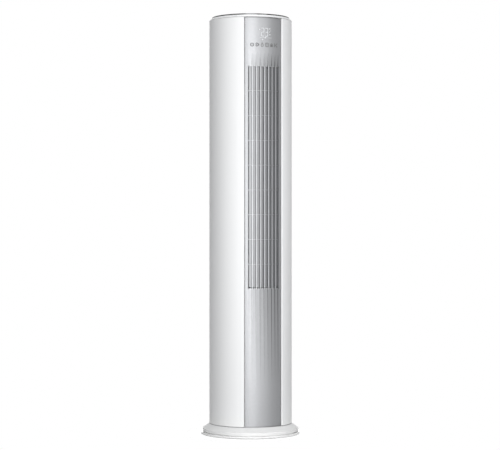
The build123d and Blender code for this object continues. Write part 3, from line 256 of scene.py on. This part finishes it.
class Shader:
    """A material under construction: one Principled shader and helpers that add nodes to it."""

    def __init__(self, name, colour, roughness, metallic=0.0):
        self.material = bpy.data.materials.new(name)
        self.material.use_nodes = True
        self.tree = self.material.node_tree
        self.surface = self.tree.nodes["Principled BSDF"]
        self.constant("Base Color", (*colour, 1))
        self.constant("Roughness", roughness)
        self.constant("Metallic", metallic)
        self.place = self.add("ShaderNodeTexCoord").outputs["Object"]

    def constant(self, socket, value):
        """Sets one of the surface's own values."""
        self.surface.inputs[socket].default_value = value

    def add(self, kind, **settings):
        node = self.tree.nodes.new(kind)
        for key, value in settings.items():
            setattr(node, key, value)
        return node

    def link(self, source, target):
        self.tree.links.new(source, target)

    def axes(self):
        """The point's X, Y and Z in the object."""
        split = self.add("ShaderNodeSeparateXYZ")
        self.link(self.place, split.inputs["Vector"])
        return split.outputs

    def noise(self, scale, detail=2.0, stretch=(1, 1, 1)):
        """Noise at so many cells per metre, stretched along the axes."""
        mapping = self.add("ShaderNodeMapping")
        mapping.inputs["Scale"].default_value = stretch
        texture = self.add("ShaderNodeTexNoise")
        texture.inputs["Scale"].default_value = scale
        texture.inputs["Detail"].default_value = detail
        self.link(self.place, mapping.inputs["Vector"])
        self.link(mapping.outputs["Vector"], texture.inputs["Vector"])
        return texture.outputs["Fac"]

    def cells(self, scale):
        """Irregular cells, so many per metre."""
        texture = self.add("ShaderNodeTexVoronoi")
        texture.inputs["Scale"].default_value = scale
        self.link(self.place, texture.inputs["Vector"])
        return texture

    def bands(self, pitch):
        """Even level bands, one per pitch in metres. The wave turns 20 radians over a unit of scale."""
        wave_turn = 20
        texture = self.add("ShaderNodeTexWave", wave_type="BANDS", bands_direction="Z")
        texture.inputs["Scale"].default_value = 2 * math.pi / wave_turn / pitch
        texture.inputs["Distortion"].default_value = 0
        self.link(self.place, texture.inputs["Vector"])
        return texture.outputs["Fac"]

    def tone(self, colour):
        """How light a colour is."""
        node = self.add("ShaderNodeRGBToBW")
        self.link(colour, node.inputs["Color"])
        return node.outputs["Val"]

    def ramp(self, value, low, high, start=0.0, end=1.0):
        """The value stretched from start..end to low..high."""
        node = self.add("ShaderNodeMapRange")
        node.inputs["From Min"].default_value = start
        node.inputs["From Max"].default_value = end
        node.inputs["To Min"].default_value = low
        node.inputs["To Max"].default_value = high
        self.link(value, node.inputs["Value"])
        return node.outputs["Result"]

    def rise(self, low, high):
        """0 below one height, 1 above another."""
        return self.ramp(self.axes()["Z"], 0, 1, low, high)

    def seam(self):
        """1 on the edge of the covers that stands on the base, where shade is painted because the joint
        is always in shadow.
        """
        above_base = self.rise(seam_low - seam_fade_low, seam_low)
        below_seam = self.rise(seam_high + seam_fade_high, seam_high)
        return combined(self.tree, "MULTIPLY", above_base, below_seam)

    def edges(self, share=1.0):
        """How far a point lies on an outward edge, from 0 to share."""
        sharp = self.add("ShaderNodeNewGeometry").outputs["Pointiness"]
        return self.ramp(sharp, 0, share, edge_start, edge_full)

    def crease_shade(self, share):
        """How deep a point lies in a crease, from 0 to share: where shade is painted."""
        node = self.add("ShaderNodeAmbientOcclusion", samples=crease_samples)
        node.inputs["Distance"].default_value = crease_reach
        return self.ramp(node.outputs["AO"], share, 0, crease_full, crease_end)

    def mix(self, share, first, second):
        node = self.add("ShaderNodeMix", data_type="RGBA")
        self.link(share, node.inputs["Factor"])
        for socket, colour in ((node.inputs["A"], first), (node.inputs["B"], second)):
            if isinstance(colour, tuple):
                socket.default_value = (*colour, 1)
            else:
                self.link(colour, socket)
        return node.outputs["Result"]

    def paint(self, colour):
        self.link(colour, self.surface.inputs["Base Color"])

    def gloss(self, value, low, high, start=0.3, end=0.7):
        """Roughness from low to high as the value goes from start to end."""
        self.link(self.ramp(value, low, high, start, end), self.surface.inputs["Roughness"])

    def bump(self, value, depth, strength):
        """Relief of this depth in metres."""
        node = self.add("ShaderNodeBump")
        node.inputs["Strength"].default_value = strength
        node.inputs["Distance"].default_value = depth
        self.link(value, node.inputs["Height"])
        self.link(node.outputs["Normal"], self.surface.inputs["Normal"])


def toned(colour, factor, lift=0.0):
    """A darker or lighter shade of a colour."""
    return tuple(min(1, channel * factor + lift) for channel in colour)


# ---------------------------------------------------------------- materials


def white_paint(name, colour):
    """Satin white moulded plastic: a fine leathery skin, faint flow marks, a little dust low down."""
    dust_height = 0.10
    red, green, blue = colour
    dusty = toned((red, green, blue * 0.98), factor=0.95)
    darker = toned(colour, factor=0.975)
    shader = Shader(name, colour, roughness=0.36)
    flow = shader.noise(scale=5, detail=3, stretch=(1, 1, 0.3))
    body = shader.mix(shader.rise(0.0, dust_height), dusty, shader.mix(flow, colour, darker))
    # The band at the joint with the base is painted shade.
    shader.paint(shader.mix(shader.seam(), body, seam_shade_colour))
    shader.gloss(shader.noise(scale=60, detail=4), low=0.33, high=0.39)
    shader.bump(shader.noise(scale=1400, detail=3), depth=mm(0.02), strength=0.25)
    shader.constant("Specular IOR Level", 0.45)
    return shader.material


def silver_paint(name, grey, crease_shade_strength):
    """Silver metallic paint: fine bright flakes under a satin clear coat."""
    silver_tint = (1, 1.015, 1.045)
    silver = tuple(grey * channel for channel in silver_tint)
    shader = Shader(name, silver, roughness=0.50, metallic=1.0)
    tone = shader.tone(shader.cells(scale=2600).outputs["Color"])
    flakes = shader.mix(shader.ramp(tone, 0, 1), toned(silver, factor=0.94), toned(silver, factor=1.06))
    # Painted shade darkens the creases.
    body = shader.mix(shader.crease_shade(crease_shade_strength), flakes, crease_shade_colour)
    # The band at the joint with the base is painted shade.
    shader.paint(shader.mix(shader.seam(), body, seam_shade_colour))
    shader.gloss(shader.noise(scale=90, detail=3), low=0.48, high=0.53)
    shader.bump(shader.noise(scale=1800, detail=2), depth=mm(0.015), strength=0.2)
    shader.constant("Coat Weight", 0.15)
    shader.constant("Coat Roughness", 0.25)
    return shader.material


def bright_metal(name):
    """Polished trim with faint hairlines round it, its near-black colour a painted reflection of dark
    surroundings.
    """
    shader = Shader(name, colour=(0.06, 0.061, 0.063), roughness=0.20, metallic=1.0)
    lines = shader.noise(scale=900, detail=2, stretch=(0.05, 0.05, 1))
    shader.gloss(lines, low=0.10, high=0.20)
    shader.bump(lines, depth=mm(0.004), strength=0.3)
    return shader.material


def rubber(name, colour):
    """Matt rubber with a grain and paler, drier clouds."""
    shader = Shader(name, colour, roughness=0.8)
    grain = shader.noise(scale=700, detail=4)
    clouds = shader.noise(scale=60, detail=4)
    shader.paint(shader.mix(clouds, colour, toned(colour, factor=1.25, lift=0.01)))
    shader.gloss(grain, low=0.72, high=0.88)
    shader.bump(grain, depth=mm(0.08), strength=0.5)
    return shader.material


def galvanised_steel(name):
    """Zinc coated sheet: spangles of slightly different grey, edges rubbed bright."""
    dull_zinc = (0.50, 0.52, 0.54)
    pale_zinc = (0.66, 0.68, 0.70)
    rubbed_zinc = (0.80, 0.81, 0.82)
    shader = Shader(name, colour=(0.60, 0.62, 0.64), roughness=0.42, metallic=0.9)
    spangle = shader.cells(scale=110)
    tone = shader.tone(spangle.outputs["Color"])
    body = shader.mix(tone, dull_zinc, pale_zinc)
    shader.paint(shader.mix(shader.edges(), body, rubbed_zinc))
    shader.gloss(tone, low=0.34, high=0.50, start=0, end=1)
    shader.bump(spangle.outputs["Distance"], depth=mm(0.02), strength=0.3)
    return shader.material


def moulded_plastic(name, colour, roughness, grain=1000):
    """Moulded plastic with a fine grain and slightly paler edges."""
    shader = Shader(name, colour, roughness)
    cloud = shader.mix(shader.noise(scale=30, detail=3), colour, toned(colour, factor=0.92))
    shader.paint(shader.mix(shader.edges(share=0.6), cloud, toned(colour, factor=1.25, lift=0.02)))
    shader.gloss(shader.noise(scale=120, detail=3), low=roughness - 0.05, high=roughness + 0.06)
    shader.bump(shader.noise(scale=grain, detail=3), depth=mm(0.03), strength=0.35)
    return shader.material


def foam_faced(name):
    """Dark grey duct plastic with a sprayed, slightly lumpy face."""
    hollow_grey = (0.13, 0.135, 0.14)
    raised_grey = (0.20, 0.205, 0.21)
    shader = Shader(name, colour=(0.16, 0.165, 0.17), roughness=0.7)
    lumps = shader.noise(scale=260, detail=5)
    shader.paint(shader.mix(lumps, hollow_grey, raised_grey))
    shader.gloss(lumps, low=0.62, high=0.8)
    shader.bump(lumps, depth=mm(0.15), strength=0.4)
    return shader.material


def enamel(name, colour):
    """Baked enamel over steel: orange peel, paint worn from the edges."""
    worn = toned(colour, factor=0.5, lift=0.28)
    shader = Shader(name, colour, roughness=0.4)
    edges = shader.edges(share=0.7)
    shader.paint(shader.mix(edges, shader.mix(shader.noise(scale=25, detail=3), colour, worn), worn))
    shader.gloss(shader.noise(scale=80, detail=3), low=0.35, high=0.46)
    shader.bump(shader.noise(scale=320, detail=2), depth=mm(0.04), strength=0.35)
    return shader.material


def coil_fins(name):
    """Aluminium fin pack: level fins at an even pitch, dulled unevenly, with painted shade in the gaps
    between them.
    """
    clean_fin = (0.78, 0.81, 0.84)
    dulled_fin = (0.62, 0.66, 0.68)
    fin_gap_shade = (0.20, 0.22, 0.24)
    shader = Shader(name, colour=(0.74, 0.77, 0.80), roughness=0.35, metallic=0.9)
    fins = shader.bands(pitch=mm(1.6))
    dull = shader.noise(scale=14, detail=4)
    metal = shader.mix(dull, clean_fin, dulled_fin)
    # The gaps between the fins are painted shade.
    shader.paint(shader.mix(shader.ramp(fins, 1, 0), metal, fin_gap_shade))
    shader.gloss(dull, low=0.3, high=0.5)
    shader.bump(fins, depth=mm(0.5), strength=0.6)
    return shader.material


def bare_metal(name, colour, tarnish, roughness):
    """Drawn or turned metal with patches of tarnish and fine draw lines."""
    shader = Shader(name, colour, roughness, metallic=1.0)
    patches = shader.noise(scale=45, detail=5)
    shader.paint(shader.mix(shader.ramp(patches, 0, 1, start=0.45, end=0.75), colour, tarnish))
    shader.gloss(patches, low=roughness - 0.06, high=roughness + 0.18)
    draw_lines = shader.noise(scale=800, detail=2, stretch=(1, 1, 0.1))
    shader.bump(draw_lines, depth=mm(0.01), strength=0.3)
    return shader.material


def filter_net(name):
    """Fine dark woven net in its frame: crossing threads, with painted shade in its open holes."""
    hole_shade = (0.035, 0.037, 0.04)
    thread_colour = (0.15, 0.155, 0.16)
    threads_round = 140
    shader = Shader(name, colour=(0.10, 0.105, 0.11), roughness=0.6)
    level_threads = shader.bands(pitch=mm(1.2))
    axes = shader.axes()
    angle = combined(shader.tree, "ARCTAN2", axes["X"], axes["Y"])
    turns = combined(shader.tree, "MULTIPLY", angle, 2 * math.pi * threads_round)
    upright_threads = combined(shader.tree, "SINE", turns)
    threads = combined(shader.tree, "MAXIMUM", level_threads, upright_threads)
    # The holes are painted shade.
    shader.paint(shader.mix(threads, hole_shade, thread_colour))
    shader.bump(threads, depth=mm(0.2), strength=0.5)
    shader.gloss(shader.noise(scale=200, detail=3), low=0.5, high=0.7)
    return shader.material


def circuit_board(name):
    """Green solder mask with paler copper tracks under it."""
    pattern = {
        "Scale": 240,
        "Mortar Size": 0.04,
        "Color1": (0.012, 0.10, 0.05, 1),
        "Color2": (0.02, 0.15, 0.075, 1),
        "Mortar": (0.10, 0.30, 0.13, 1),
    }
    shader = Shader(name, colour=(0.02, 0.14, 0.07), roughness=0.32)
    tracks = shader.add("ShaderNodeTexBrick")
    for socket, value in pattern.items():
        tracks.inputs[socket].default_value = value
    shader.link(shader.place, tracks.inputs["Vector"])
    shader.paint(tracks.outputs["Color"])
    shader.bump(tracks.outputs["Fac"], depth=mm(0.05), strength=0.4)
    shader.gloss(shader.noise(scale=150, detail=3), low=0.26, high=0.40)
    return shader.material


def lit_display(name):
    """White light through the panel skin, a little uneven as a light guide makes it."""
    shader = Shader(name, colour=(0.30, 0.305, 0.31), roughness=0.4)
    glow = shader.ramp(shader.noise(scale=120, detail=2), low=0.32, high=0.38)
    shader.constant("Emission Color", (0.93, 0.95, 1.0, 1))
    shader.link(glow, shader.surface.inputs["Emission Strength"])
    shader.gloss(shader.noise(scale=200, detail=2), low=0.35, high=0.45)
    shader.bump(shader.noise(scale=900, detail=2), depth=mm(0.01), strength=0.2)
    return shader.material


def printed_ink(name, grey):
    """Grey screen printing with a slightly mottled film."""
    colour = (grey, grey, grey)
    thick_ink = toned(colour, factor=0.85)
    thin_ink = toned(colour, factor=1.25)
    shader = Shader(name, colour, roughness=0.5)
    shader.paint(shader.mix(shader.noise(scale=500, detail=3), thick_ink, thin_ink))
    shader.gloss(shader.noise(scale=300, detail=2), low=0.42, high=0.58)
    shader.bump(shader.noise(scale=1500, detail=2), depth=mm(0.01), strength=0.3)
    return shader.material


materials = {
    "white_shell": white_paint("white_shell", (0.80, 0.805, 0.81)),
    "white_base": white_paint("white_base", (0.75, 0.752, 0.762)),
    "silver_panel": silver_paint("silver_panel", grey=0.258, crease_shade_strength=1.0),
    "silver_grille": silver_paint("silver_grille", grey=0.34, crease_shade_strength=0.7),
    "silver_louvre": silver_paint("silver_louvre", grey=0.27, crease_shade_strength=0.3),
    "bright_trim": bright_metal("bright_trim"),
    "foot_rubber": rubber("foot_rubber", (0.03, 0.03, 0.032)),
    "grommet_rubber": rubber("grommet_rubber", (0.45, 0.45, 0.44)),
    "sheet_steel": galvanised_steel("sheet_steel"),
    "duct_plastic": foam_faced("duct_plastic"),
    "vane_plastic": moulded_plastic("vane_plastic", (0.20, 0.205, 0.21), roughness=0.5),
    "fan_plastic": moulded_plastic("fan_plastic", (0.035, 0.035, 0.04), roughness=0.45, grain=700),
    "motor_case": enamel("motor_case", (0.05, 0.055, 0.06)),
    "coil_fin": coil_fins("coil_fin"),
    "copper_tube": bare_metal("copper_tube", (0.80, 0.42, 0.27), (0.42, 0.20, 0.12), roughness=0.25),
    "nut_brass": bare_metal("nut_brass", (0.80, 0.62, 0.30), (0.50, 0.36, 0.16), roughness=0.24),
    "filter_weave": filter_net("filter_weave"),
    "circuit_board": circuit_board("circuit_board"),
    "box_steel": enamel("box_steel", (0.55, 0.56, 0.55)),
    "gland_plastic": moulded_plastic("gland_plastic", (0.70, 0.70, 0.69), roughness=0.4),
    "terminal_plastic": moulded_plastic("terminal_plastic", (0.03, 0.03, 0.03), roughness=0.38),
}

# Each piece takes the finish of its material slot. The outlet frame has a lighter copy of the silver, a
# painted highlight that makes its ribs and bars read as lit.
finish_of = {part["node"]: part["material_slot"] for part in frame["record"]["subparts"]}
finish_of["outlet_grille"] = "silver_grille"
for name, piece in frame["nodes"].items():
    piece.data.materials.clear()
    piece.data.materials.append(materials[finish_of[name]])

# ---------------------------------------------------------------- drawing on the panel


def rounded(points, radius):
    """The polyline with each inner corner turned into an arc."""
    path = [Vector(points[0])]
    for before, corner, after in zip(points, points[1:], points[2:]):
        corner = Vector(corner)
        to_before = (Vector(before) - corner).normalized()
        to_after = (Vector(after) - corner).normalized()
        half = to_before.angle(to_after) / 2
        reach = radius / math.tan(half)
        centre = corner + (to_before + to_after).normalized() * (radius / math.sin(half))
        start = corner + to_before * reach - centre
        end = corner + to_after * reach - centre
        for step in range(corner_steps + 1):
            path.append(centre + start.lerp(end, step / corner_steps).normalized() * radius)
    path.append(Vector(points[-1]))
    return path


def arc(centre, radius, start, end):
    """Points on an arc, with angles in degrees from +u."""
    points = []
    for step in range(arc_steps + 1):
        turn = math.radians(start + (end - start) * step / arc_steps)
        points.append(Vector(centre) + Vector((math.cos(turn), math.sin(turn))) * radius)
    return points


def dense(path):
    """The path with points added so that no two are further apart than a stroke's step."""
    full = [path[0]]
    for a, b in zip(path, path[1:]):
        parts = max(1, math.ceil((b - a).length / stroke_step))
        full.extend(a.lerp(b, part / parts) for part in range(1, parts + 1))
    return full


def stroke(mesh, path, width):
    """Adds a flat stroke of this width along the path, mitred at its corners."""
    path = dense(path)
    closed = (path[0] - path[-1]).length < same_point
    if closed:
        path = path[:-1]
    count = len(path)
    sides = []
    for index, point in enumerate(path):
        before = path[index - 1] if index or closed else None
        after = path[(index + 1) % count] if index + 1 < count or closed else None
        into = (point - before).normalized() if before is not None else None
        out = (after - point).normalized() if after is not None else None
        into = into or out
        out = out or into
        along = (into + out).normalized()
        reach = width / 2 / max(least_mitre_cosine, along.dot(into))
        across = Vector((-along.y, along.x)) * reach
        left = mesh.verts.new((*(point + across), 0))
        right = mesh.verts.new((*(point - across), 0))
        sides.append((left, right))
    last = count if closed else count - 1
    for index in range(last):
        a, b = sides[index], sides[(index + 1) % count]
        mesh.faces.new((a[1], b[1], b[0], a[0]))


def line(mesh, start, end, width):
    stroke(mesh, [Vector(start), Vector(end)], width)


def disc(mesh, radius):
    ring = arc((0, 0), radius, start=0, end=360)[:-1]
    mesh.faces.new([mesh.verts.new((*point, 0)) for point in ring])


def mark(name, draw, angle, height, material):
    """A thin raised mark: drawn flat in (u, v), thickened and wrapped onto the panel."""
    mesh = bmesh.new()
    draw(mesh)
    for vert in mesh.verts:
        vert.co.z = -mark_root
    made = bmesh.ops.extrude_face_region(mesh, geom=mesh.faces[:], use_keep_orig=True)
    for vert in made["geom"]:
        if isinstance(vert, bmesh.types.BMVert):
            vert.co.z = mark_rise
    for vert in mesh.verts:
        u, v, rise = vert.co
        vert.co = at_angle(angle + math.degrees(u / panel_radius), panel_radius + rise, height + v)
    bmesh.ops.recalc_face_normals(mesh, faces=mesh.faces[:])
    data = bpy.data.meshes.new(name)
    mesh.to_mesh(data)
    mesh.free()
    piece = bpy.data.objects.new(name, data)
    bpy.context.scene.collection.objects.link(piece)
    data.materials.append(material)
    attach(piece, "cabinet")


# ---------------------------------------------------------------- lit display

digit_right = digit_width / 2
digit_top = digit_height / 2


def digit_two(mesh):
    upper = [(-digit_right, digit_top), (digit_right, digit_top), (digit_right, 0)]
    lower = [(-digit_right, 0), (-digit_right, -digit_top), (digit_right, -digit_top)]
    stroke(mesh, rounded(upper + lower, digit_corner), digit_stroke)


def digit_three(mesh):
    upper = [(-digit_right, digit_top), (digit_right, digit_top)]
    lower = [(digit_right, -digit_top), (-digit_right, -digit_top)]
    bar_left = -digit_right * 0.6
    bar_right = digit_right - digit_stroke / 2
    stroke(mesh, rounded(upper + lower, digit_corner), digit_stroke)
    line(mesh, (bar_left, 0), (bar_right, 0), digit_stroke)


def percent_ring(mesh):
    stroke(mesh, arc((0, 0), percent_ring_radius, start=0, end=360), percent_ring_stroke)


def percent_bar(mesh):
    right, top = percent_bar_width / 2, percent_bar_height / 2
    line(mesh, (-right, -top), (right, top), percent_bar_stroke)


def level_bar(mesh):
    line(mesh, (-level_length / 2, 0), (level_length / 2, 0), level_stroke)


def level_cursor(mesh):
    disc(mesh, cursor_radius)


def small_dot(mesh):
    disc(mesh, dot_radius)


# Each lit mark: its drawing, and its place across and above the display's middle.
half_pair = (digit_width + digit_gap) / 2
lit_marks = {
    "digit_2": (digit_two, -half_pair, 0),
    "digit_3": (digit_three, half_pair, 0),
    "percent_upper": (percent_ring, mm(24.3), mm(15.6)),
    "percent_bar": (percent_bar, mm(25.0), mm(2.8)),
    "percent_lower": (percent_ring, mm(25.0), mm(-9.8)),
    "state_dot_left": (small_dot, mm(-23.0), mm(10.8)),
    "level_bar": (level_bar, mm(5.4), level_rise),
    "level_cursor": (level_cursor, mm(3.2), level_rise),
    "state_dot_low": (small_dot, mm(-9.5), mm(-33.0)),
}
light_mark = lit_display("display_light")
pale_ink = printed_ink("key_ink", grey=0.10)
dark_ink = printed_ink("key_ink_dark", grey=0.02)
for name, (draw, across, up) in lit_marks.items():
    mark(name, draw, math.degrees(across / panel_radius), display_height + up, light_mark)

# ---------------------------------------------------------------- touch key symbols

key_reach = key_size / 2


def in_key(across, up):
    """A point of a symbol, given in shares of the symbol's half size."""
    return Vector((across * key_reach, up * key_reach))


def key_line(mesh, *points):
    """A stroke through points given in the same shares."""
    stroke(mesh, [in_key(*point) for point in points], key_stroke)


def key_arc(mesh, centre, radius, start, end):
    """A stroke on an arc, its centre and radius in the same shares and its angles in degrees."""
    stroke(mesh, arc(in_key(*centre), key_reach * radius, start, end), key_stroke)


def key_power(mesh):
    key_arc(mesh, (0, 0), radius=0.85, start=125, end=415)
    key_line(mesh, (0, 0), (0, 1))


def key_fan(mesh):
    blade_place = 0.5
    for turn in (0, 120, 240):
        tip = math.radians(turn)
        centre = (math.cos(tip) * blade_place, math.sin(tip) * blade_place)
        key_arc(mesh, centre, radius=0.42, start=turn - 150, end=turn + 90)


def key_drop(mesh):
    tip = in_key(0, 1)
    bowl_radius = 0.62
    bowl = arc(in_key(0, -0.35), key_reach * bowl_radius, start=-215, end=35)
    stroke(mesh, [tip, *bowl, tip], key_stroke)


def key_mode(mesh):
    sheet_size = 0.88
    sheet_corner = mm(2.5)
    corners = [(0, 1), (1, 1), (1, -1), (-1, -1), (-1, 1), (0, 1)]
    outline = rounded([in_key(*corner) * sheet_size for corner in corners], sheet_corner)
    stroke(mesh, outline, key_stroke)
    key_line(mesh, (0, -0.4), (0, 0.4))


def key_lock(mesh):
    body_height = 1.05
    key_arc(mesh, (0, 0.15), radius=0.5, start=0, end=180)
    line(mesh, in_key(-0.72, -0.42), in_key(0.72, -0.42), key_reach * body_height)


def key_swing(mesh):
    key_line(mesh, (-0.8, -1), (-0.8, 1))
    key_line(mesh, (1, 1), (-0.25, 0), (1, -1))


# The symbols from left to right, each named after its drawing.
key_symbols = [
    (key_power, dark_ink),
    (key_fan, dark_ink),
    (key_drop, pale_ink),
    (key_mode, pale_ink),
    (key_lock, pale_ink),
    (key_swing, pale_ink),
]
middle_key = (len(key_symbols) - 1) / 2
for index, (draw, ink) in enumerate(key_symbols):
    mark(draw.__name__, draw, key_pitch * (index - middle_key), key_height, ink)

# ---------------------------------------------------------------- floor


def make_floor():
    """A pale floor that keeps the object's shadow and fades into the white behind it."""
    mesh = bmesh.new()
    bmesh.ops.create_circle(mesh, cap_ends=True, segments=floor_sides, radius=floor_radius)
    data = bpy.data.meshes.new("floor")
    mesh.to_mesh(data)
    mesh.free()
    floor = bpy.data.objects.new("floor", data)
    bpy.context.scene.collection.objects.link(floor)
    shader = Shader("floor", colour=(0.93, 0.93, 0.93), roughness=0.85)
    length = shader.add("ShaderNodeVectorMath", operation="LENGTH")
    shader.link(shader.place, length.inputs[0])
    fade = shader.ramp(length.outputs["Value"], 0, 1, floor_fade_start, floor_fade_end)
    lift = shader.ramp(seen_share(shader.tree), 0, floor_lift)
    shader.link(lift, shader.surface.inputs["Emission Strength"])
    shader.constant("Emission Color", (1, 1, 1, 1))
    clear = shader.add("ShaderNodeBsdfTransparent")
    blend = shader.add("ShaderNodeMixShader")
    output = shader.tree.nodes["Material Output"]
    shader.link(fade, blend.inputs["Fac"])
    shader.link(shader.surface.outputs[0], blend.inputs[1])
    shader.link(clear.outputs[0], blend.inputs[2])
    shader.link(blend.outputs[0], output.inputs["Surface"])
    data.materials.append(shader.material)
    floor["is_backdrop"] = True


make_floor()

# ---------------------------------------------------------------- sizes and end

shown_low, shown_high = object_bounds()
sizes = {"cad": [list(cad_low), list(cad_high)], "visual": [list(shown_low), list(shown_high)]}
